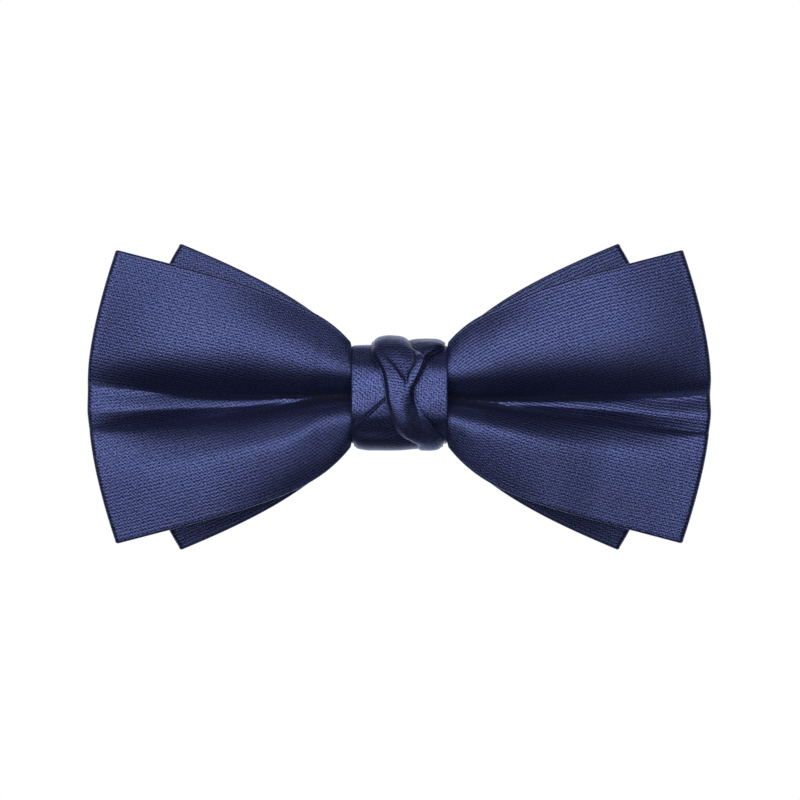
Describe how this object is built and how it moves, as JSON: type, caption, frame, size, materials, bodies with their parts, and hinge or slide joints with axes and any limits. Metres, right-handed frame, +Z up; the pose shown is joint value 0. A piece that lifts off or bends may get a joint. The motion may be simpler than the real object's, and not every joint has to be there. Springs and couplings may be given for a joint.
{
  "type": "ready-tied bow tie",
  "caption": "Ready-tied navy satin bow tie: two stacked bows pinched by a wrapped knot with crossed strands, on a snap clip with hinged jaws that grip a shirt collar.",
  "frame": {"origin": "middle of the clip bar's rear face, which lies on the shirt collar", "axes": "+X to the viewer's right along the bow, -Y the front face of the bow, +Y towards the wearer's collar, +Z up"},
  "size_m": [0.1198, 0.0214, 0.0594],
  "materials": {
    "navy_satin": "ribbed polyester satin, soft sheen",
    "white_interlining": "unbleached non-woven interlining",
    "navy_tape": "narrow woven binding tape",
    "navy_thread": "twisted polyester thread",
    "plated_steel": "stamped steel, bright nickel plate",
    "spring_steel": "hardened strip, fine grain",
    "brass": "upset brass rivet"
  },
  "bodies": {
    "bow": {"front_bow_satin": "navy_satin", "front_bow_interlining": "white_interlining", "back_bow_satin": "navy_satin", "back_bow_interlining": "white_interlining", "waist_binding_tape": "navy_tape", "knot_band_satin": "navy_satin", "knot_band_interlining": "white_interlining", "knot_under_strand": "navy_satin", "knot_over_strand": "navy_satin", "closing_stitches": "navy_thread", "clip_tack_thread": "navy_thread", "clip_bar": "plated_steel", "clip_leaf_spring": "spring_steel", "spring_rivets": "brass", "left_hinge_pin": "plated_steel", "right_hinge_pin": "plated_steel"},
    "left_jaw": {"left_jaw": "plated_steel"},
    "right_jaw": {"right_jaw": "plated_steel"}
  },
  "joints": [
    {"name": "left_jaw_hinge", "type": "hinge", "parent": "bow", "child": "left_jaw", "pos_m": [-0.0135, 0.0024, 0], "axis": [0, 0, -1], "range_deg": [0, 95], "stiffness_Nm_per_rad": 0.02, "springref_deg": -17.19},
    {"name": "right_jaw_hinge", "type": "hinge", "parent": "bow", "child": "right_jaw", "pos_m": [0.0135, 0.0024, 0], "axis": [0, 0, 1], "range_deg": [0, 95], "stiffness_Nm_per_rad": 0.02, "springref_deg": -17.19}
  ]
}
